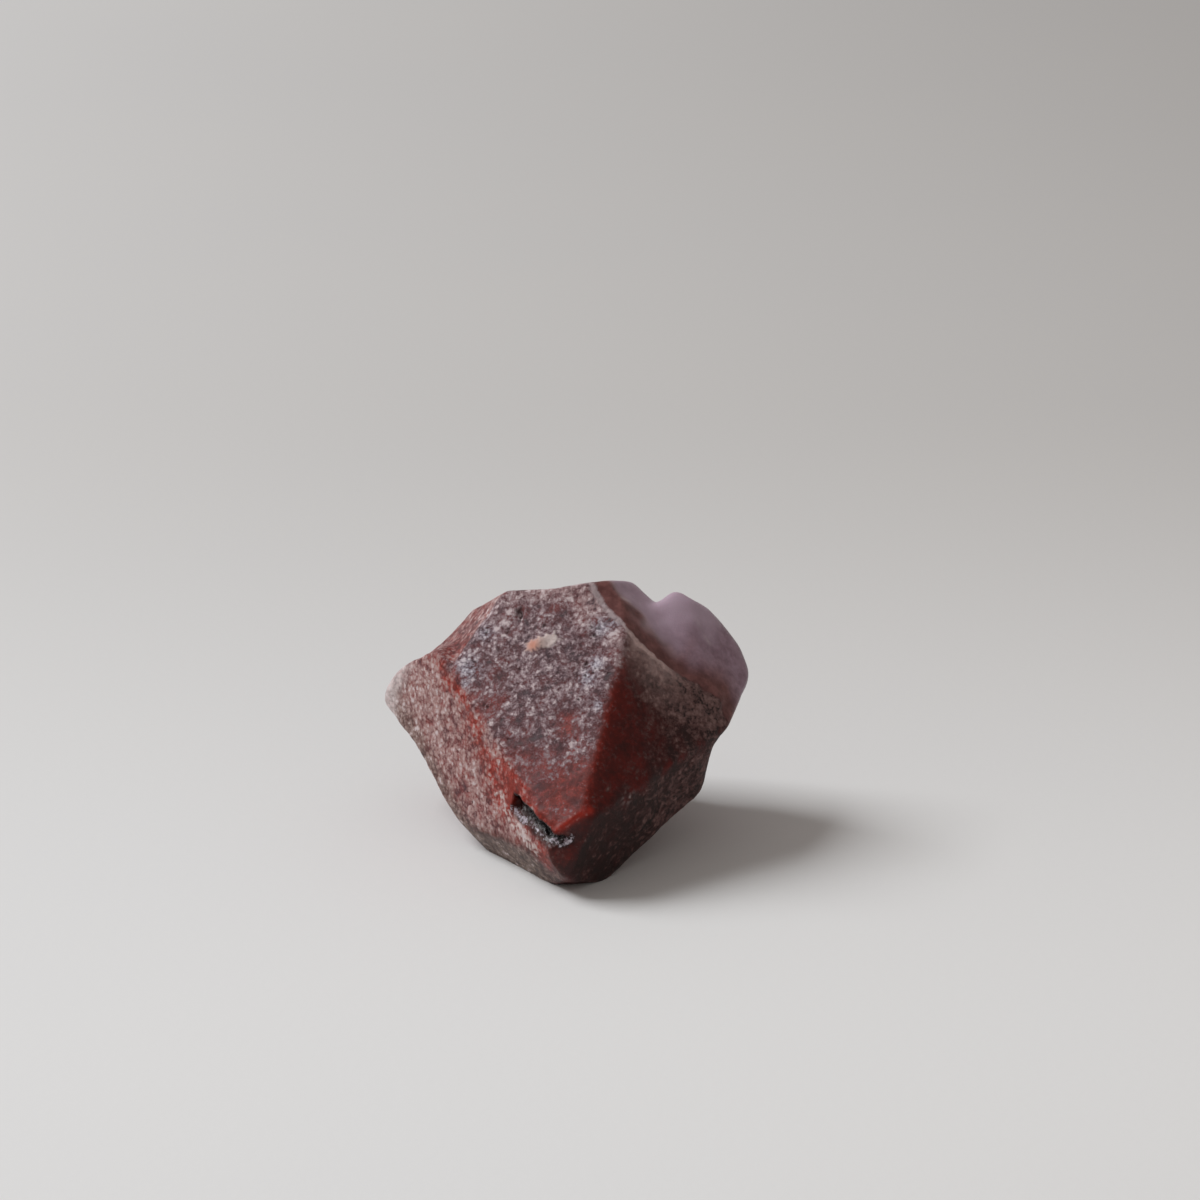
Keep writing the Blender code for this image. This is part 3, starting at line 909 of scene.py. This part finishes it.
def sugar_group():
    """Sugary crust: how white a spot is, from bare gaps (0) to clean grains (1), its height, and painted
    glints.
    """
    group, given, result = new_group(
        "sugar crust", ("Cover", "Coarse", "Contrast"), ("Whiteness", "Height", "Painted glints")
    )
    at = given["Position"]
    clumps = texture(group, at, 0.8, 2.0, 0.5)
    close = texture(group, at, 2.0, 5.0, 0.8)
    wide = texture(group, at, 1.4, 5.0, 0.85)
    tiny = texture(group, at, 5.0, 2.0, 0.5)

    # Fine noise where the crust is fine and wider noise where it is coarse, then the clumps.
    coarse = times(group, given["Coarse"], 0.55)
    pattern = times(group, wide, coarse)
    pattern = maths(group, "MULTIPLY_ADD", close, maths(group, "SUBTRACT", 1.0, coarse), pattern)
    pattern = times(group, pattern, 0.75)
    pattern = maths(group, "MULTIPLY_ADD", clumps, 0.25, pattern)

    # Round grains, each of its own lightness.
    cells = place(group, "ShaderNodeTexVoronoi", Vector=at, Scale=2.3)
    grain = place(group, "ShaderNodeSeparateColor", Color=cells.outputs["Color"]).outputs["Red"]
    round_grain = maths(group, "SUBTRACT", grain, cells.outputs["Distance"])
    grain_share = between(group, coarse, 0.06, 0.2)
    pattern = maths(group, "MULTIPLY_ADD", round_grain, grain_share, pattern)

    spread = times(group, maths(group, "SUBTRACT", pattern, 0.5), given["Contrast"])
    whiteness = maths(group, "ADD", spread, given["Cover"])
    # Painted glints: sparse bright spots in the clean grain colour on the whiter grains.
    bright = stepped(group, tiny, 0.62, 0.7)
    join(group, whiteness, result["Whiteness"])
    join(group, stepped(group, whiteness, 0.1, 0.9), result["Height"])
    join(group, times(group, bright, stepped(group, whiteness, 0.3, 0.7)), result["Painted glints"])
    return group


def clouds_group():
    """Cloudy change in a mineral's colour, from 0 to 1."""
    group, given, result = new_group("mineral clouds", ("Size",), ("Clouds",))
    scale = maths(group, "DIVIDE", 1.0, given["Size"])
    clouds = texture(group, given["Position"], scale, 4.0, 0.6)
    join(group, stepped(group, clouds, 0.3, 0.7), result["Clouds"])
    return group


def new_material(name):
    """A material, its tree and the inputs of its shader."""
    material = bpy.data.materials.new(name)
    material.use_nodes = True
    tree = material.node_tree
    return material, tree, tree.nodes["Principled BSDF"].inputs


def use_group(tree, group, **sockets):
    return place(tree, "ShaderNodeGroup", {"node_tree": group}, **sockets).outputs


# ---------------------------------------------------------------- the quartz


def tone(red, green, blue):
    """A colour from its screen values, 0 to 255."""
    values = [red / 255.0, green / 255.0, blue / 255.0]
    return tuple(v / 12.92 if v < 0.04045 else ((v + 0.055) / 1.055) ** 2.4 for v in values) + (1.0,)


# Iron behind the crust, from grey to full red, in a lit copy and a shaded copy for the painted shade.
LIT_IRON = (
    (0.0, tone(84, 61, 67)),
    (0.3, tone(104, 60, 63)),
    (0.6, tone(130, 62, 60)),
    (0.85, tone(150, 62, 54)),
    (1.0, tone(156, 46, 32)),
)
SHADED_IRON = (
    (0.0, tone(43, 28, 26)),
    (0.4, tone(56, 26, 24)),
    (0.75, tone(71, 18, 14)),
    (1.0, tone(92, 19, 11)),
)
OLIVE_IRON = tone(92, 72, 66)
# The crust itself and its cleanest grains, then their shaded copies for the painted shade.
COOL_CRUST, WARM_CRUST = tone(144, 124, 130), tone(178, 144, 139)
OLIVE_CRUST, BLUISH_CRUST = tone(140, 121, 112), tone(154, 146, 157)
SHADED_CRUST, SHADED_RED_CRUST = tone(106, 79, 76), tone(86, 50, 46)
CLEAN_GRAIN, BLUISH_GRAIN = tone(202, 187, 188), tone(206, 200, 208)
SHADED_GRAIN = tone(124, 98, 94)
# Where the stone broke, and single marks. Pairs run from a lit to a shaded copy for the painted shade,
# or from dark to light.
LILAC = (tone(134, 107, 120), tone(156, 130, 144))
BROWN_IRON = (tone(91, 54, 52), tone(122, 79, 76))
CREAM_RIM = (tone(182, 166, 168), tone(204, 176, 171))
# Also the tone of the painted highlights on the lobe and the shoulder.
CLEAR_END_AND_HIGHLIGHT = tone(214, 200, 199)
# Pale lilac serves the pale clouds in the amethyst and the painted light on the top of the lobe.
PALE_QUARTZ, PEACH_QUARTZ, PALE_LILAC = tone(214, 198, 194), tone(212, 150, 130), tone(184, 162, 178)
DARK_PIT = tone(48, 24, 24)
RUST = (tone(132, 37, 22), tone(160, 43, 30))
HEMATITE = tone(18, 13, 14)
# A painted highlight on the groove's black crystals.
PAINTED_GLINT_ON_HEMATITE = (tone(150, 132, 142), tone(212, 208, 218))

CLOUD_SIZE, VEIN_SIZE = 1.3, 0.45  # mm
FINE_CONTRAST, WARM_CONTRAST, SHARPER_IN_PAINTED_SHADE = 5.0, 3.8, 0.4
ROUGH_GAPS, ROUGH_GRAINS, HEMATITE_SMOOTHER, AMETHYST_SMOOTHER = 0.45, 0.65, -0.2, -0.12
SHINE, MILKINESS = 0.25, 0.1
GLOW_DEPTH, GLOW_COLOURS = 0.0005, (1.0, 0.6, 0.6)  # how deep light goes under the skin, m
RELIEF_HEIGHT, RELIEF_STRENGTH = 0.00009, 0.65  # the finest grains, m


def stone_position(tree):
    """Position on the stone in millimetres."""
    where = tree.nodes.new("ShaderNodeTexCoord").outputs["Object"]
    scaled = place(tree, "ShaderNodeVectorMath", {"operation": "SCALE"}, Vector=where, Scale=1 / MM)
    return scaled.outputs["Vector"]


def iron_colour(tree, redness, olive, painted_shade, veins):
    """The iron behind the crust, turned to its shaded copy under the painted shade."""
    lit = blend(tree, olive, colour_ramp(tree, redness, LIT_IRON), OLIVE_IRON)
    iron = blend(tree, painted_shade, lit, colour_ramp(tree, redness, SHADED_IRON))
    return scaled_colour(tree, iron, between(tree, veins, 0.8, 1.2))


def crust_colour(tree, crust, clouds, veins):
    """The sugary crust and the iron that shows through it, with shaded copies under the painted shade.
    """
    names = ("iron", "warm", "painted_shade", "olive", "cool")
    iron, warm, painted_shade, olive, cool = (mask(tree, name) for name in names)
    redness = maths(tree, "ADD", between(tree, clouds, -0.15, 0.15), iron)
    behind = iron_colour(tree, redness, olive, painted_shade, veins)
    # The gaps between grains are dark, and less so under the painted shade.
    gaps = scaled_colour(tree, behind, between(tree, painted_shade, 0.5, 0.75))

    # Cool and grey on the upper face, warm and pink on the left, and a dull shaded copy under the
    # painted shade.
    covering = blend(tree, warm, COOL_CRUST, WARM_CRUST)
    covering = blend(tree, olive, covering, OLIVE_CRUST)
    covering = blend(tree, cool, covering, BLUISH_CRUST)
    shaded = blend(tree, redness, SHADED_CRUST, SHADED_RED_CRUST)
    covering = blend(tree, painted_shade, covering, shaded)
    clean = blend(tree, cool, CLEAN_GRAIN, BLUISH_GRAIN)
    clean = blend(tree, painted_shade, clean, SHADED_GRAIN)

    # From the gaps between grains, over the bare iron and the crust, to the cleanest grains.
    whiteness = crust["Whiteness"]
    covered = stepped(tree, whiteness, between(tree, warm, 0.3, 0.15), between(tree, warm, 0.7, 0.85))
    colour = blend(tree, stepped(tree, whiteness, -0.1, 0.3), gaps, behind)
    colour = blend(tree, covered, colour, covering)
    colour = blend(tree, stepped(tree, whiteness, 0.75, 1.15), colour, clean)
    # The painted glints, fainter under the painted shade.
    return blend(tree, times(tree, crust["Painted glints"], between(tree, painted_shade, 0.6, 0.2)), colour, clean)


def broken_colour(tree, clouds, veins):
    """Inside the stone: the brown-red iron band under the faces, then milky lilac amethyst."""
    inside = blend(
        tree, mask(tree, "iron_zone"), blend(tree, clouds, *LILAC), blend(tree, clouds, *BROWN_IRON)
    )
    return scaled_colour(tree, inside, between(tree, veins, 0.9, 1.1))


def marked_colour(tree, colour, crust, veins, at):
    """Lays the single marks over the stone: cream rim, clear end, pale grains, pits, rust, black
    crystals and painted highlights.
    """
    painted_shade, painted_gleam = mask(tree, "painted_shade"), mask(tree, "painted_gleam")
    creamy = times(tree, mask(tree, "rim"), between(tree, veins, 0.65, 1.0))
    colour = blend(tree, creamy, colour, blend(tree, painted_shade, *CREAM_RIM))
    misty = between(tree, stepped(tree, crust["Whiteness"], 0.1, 0.9), 0.55, 0.95)
    colour = blend(tree, times(tree, misty, mask(tree, "clear_end_and_painted_highlights")), colour, CLEAR_END_AND_HIGHLIGHT)
    pale = blend(tree, mask(tree, "peach"), PALE_QUARTZ, PEACH_QUARTZ)
    pale = blend(tree, mask(tree, "amethyst"), pale, PALE_LILAC)
    colour = blend(tree, mask(tree, "pale"), colour, pale)
    colour = blend(tree, mask(tree, "dark"), colour, DARK_PIT)
    colour = blend(tree, mask(tree, "rust"), colour, blend(tree, painted_shade, *RUST))
    colour = blend(tree, mask(tree, "hematite"), colour, HEMATITE)
    # The painted highlight, in flakes along its line in the groove.
    glint_pattern = maths(tree, "MULTIPLY_ADD", painted_gleam, 0.2, texture(tree, at, 1.9, 5.0, 0.75))
    painted_glint = times(tree, stepped(tree, glint_pattern, 0.665, 0.75), painted_gleam)
    return blend(tree, painted_glint, colour, blend(tree, veins, *PAINTED_GLINT_ON_HEMATITE))


def quartz_material(name):
    material, tree, shader = new_material(name)
    at = stone_position(tree)
    crusted, hematite, amethyst = (mask(tree, name) for name in ("crusted", "hematite", "amethyst"))
    warm, painted_shade = mask(tree, "warm"), mask(tree, "painted_shade")

    sugar, mineral_clouds = sugar_group(), clouds_group()
    clouds = use_group(tree, mineral_clouds, Position=at, Size=CLOUD_SIZE)["Clouds"]
    veins = use_group(tree, mineral_clouds, Position=at, Size=VEIN_SIZE)["Clouds"]
    contrast = between(tree, warm, FINE_CONTRAST, WARM_CONTRAST)
    contrast = maths(tree, "MULTIPLY_ADD", painted_shade, SHARPER_IN_PAINTED_SHADE, contrast)
    crust = use_group(
        tree, sugar, Position=at, Cover=mask(tree, "frost"), Coarse=warm, Contrast=contrast
    )
    broken, grown = broken_colour(tree, clouds, veins), crust_colour(tree, crust, clouds, veins)
    colour = marked_colour(tree, blend(tree, crusted, broken, grown), crust, veins, at)
    join(tree, colour, shader["Base Color"])

    roughness = between(tree, crust["Height"], ROUGH_GAPS, ROUGH_GRAINS)
    roughness = maths(tree, "MULTIPLY_ADD", hematite, HEMATITE_SMOOTHER, roughness)
    roughness = maths(tree, "MULTIPLY_ADD", amethyst, AMETHYST_SMOOTHER, roughness)
    join(tree, roughness, shader["Roughness"])

    height = times(tree, crust["Height"], crusted)
    height = maths(tree, "MULTIPLY_ADD", texture(tree, at, 6.0, 4.0, 0.65), 0.5, height)
    bump = place(
        tree, "ShaderNodeBump", Strength=RELIEF_STRENGTH, Distance=RELIEF_HEIGHT, Height=height
    )
    join(tree, bump.outputs["Normal"], shader["Normal"])
    shader["Specular IOR Level"].default_value = SHINE
    shader["Subsurface Weight"].default_value = MILKINESS
    shader["Subsurface Radius"].default_value = GLOW_COLOURS
    shader["Subsurface Scale"].default_value = GLOW_DEPTH
    return material


# ---------------------------------------------------------------- the table, the light and the view

TABLE_SIZE = 3.0  # m
TABLE_TONES = (tone(229, 231, 232), tone(233, 234, 233))
TABLE_WARM = tone(255, 247, 240)
WEAVE_SCALE, CLOUD_SCALE = 900.0, 9.0  # to the metre
BEHIND, BEYOND = (-0.06, 0.16), (0.1, 0.4)  # where the painted shade on the table deepens, once and again, m back

LIGHT_TURN, LIGHT_HEIGHT, LIGHT_FAR = -106.0, 48.0, 2.0  # degrees from the front, degrees up, m
LIGHT_SIZE, LIGHT_POWER = 1.0, 33.0
LIGHT_COLOUR = (0.97, 0.98, 1.0)
ROOM_COLOUR, ROOM_STRENGTH = (1.0, 0.91, 0.86, 1.0), 0.3

# The camera looks 20 degrees down at the stone, which lies low in the frame.
CAMERA_DIP, CAMERA_FAR = 20.0, 400.0
LENS, FILM_WIDTH = 120.0, 36.0
AIM = np.array([3.0, -3.0, 15.0]) + HEART


def table_material():
    material, tree, shader = new_material("pale_table")
    where = tree.nodes.new("ShaderNodeTexCoord").outputs["Object"]
    weave = texture(tree, where, WEAVE_SCALE, 3.0, 0.5)
    cloud = texture(tree, where, CLOUD_SCALE, 2.0, 0.5)
    colour = blend(tree, maths(tree, "MULTIPLY_ADD", weave, 0.15, cloud), *TABLE_TONES)

    # The top grows a little darker and warmer away from the light, to the back and the right.
    axes = place(tree, "ShaderNodeSeparateXYZ", Vector=where).outputs
    behind = stepped(tree, axes["Y"], *BEHIND)
    beyond = stepped(tree, axes["Y"], *BEYOND)
    shade = between(tree, behind, 1.0, 0.73)
    shade = maths(tree, "MULTIPLY_ADD", beyond, -0.06, shade)
    shade = maths(tree, "SUBTRACT", shade, times(tree, times(tree, axes["X"], 0.8), behind))
    colour = scaled_colour(tree, colour, shade)
    warmth = times(tree, maths(tree, "MULTIPLY_ADD", axes["X"], 4.0, behind), 0.3)
    join(tree, blend(tree, warmth, colour, TABLE_WARM, "MULTIPLY"), shader["Base Color"])
    shader["Roughness"].default_value = 0.75
    bump = place(tree, "ShaderNodeBump", Strength=0.15, Distance=0.0001, Height=weave)
    join(tree, bump.outputs["Normal"], shader["Normal"])
    return material


def lay_table():
    half = TABLE_SIZE / 2
    corners = [(-half, -half, 0), (half, -half, 0), (half, half, 0), (-half, half, 0)]
    mesh = bpy.data.meshes.new("table_top")
    mesh.from_pydata(corners, [], [(0, 1, 2, 3)])
    mesh.materials.append(table_material())
    return put_in("table_top", mesh)


def hang_light():
    """A soft square light, high on the left and a little behind the stone."""
    lamp = bpy.data.lights.new("window", "AREA")
    lamp.shape = "SQUARE"
    lamp.size = LIGHT_SIZE
    lamp.energy = LIGHT_POWER
    lamp.color = LIGHT_COLOUR
    made = put_in("window", lamp)
    turn, height = math.radians(LIGHT_TURN), math.radians(LIGHT_HEIGHT)
    level = math.cos(height)
    towards = Vector((math.sin(turn) * level, -math.cos(turn) * level, math.sin(height)))
    made.location = towards * LIGHT_FAR
    made.rotation_euler = towards.to_track_quat("Z", "Y").to_euler()


def fill_room():
    world = bpy.data.worlds.new("soft room")
    bpy.context.scene.world = world
    world.use_nodes = True
    background = world.node_tree.nodes["Background"].inputs
    background["Color"].default_value = ROOM_COLOUR
    background["Strength"].default_value = ROOM_STRENGTH


def set_camera():
    optics = bpy.data.cameras.new("camera")
    optics.lens, optics.sensor_width = LENS, FILM_WIDTH
    optics.clip_start, optics.clip_end = 0.01, 20.0
    camera = put_in("camera", optics)
    down = math.radians(CAMERA_DIP)
    offset = CAMERA_FAR * np.array([0.0, -math.cos(down), math.sin(down)])
    camera.location = ((AIM + offset) * MM).tolist()
    camera.rotation_euler = (math.radians(90.0 - CAMERA_DIP), 0.0, 0.0)
    bpy.context.scene.camera = camera
    bpy.context.scene.view_settings.view_transform = "Standard"


# ---------------------------------------------------------------- the stone in its setting

skin = make_skin()
skin.data.materials.append(quartz_material("crusted_quartz"))
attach(skin, "root")
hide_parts("quartz_point")

table_top = lay_table()
hang_light()
fill_room()
set_camera()
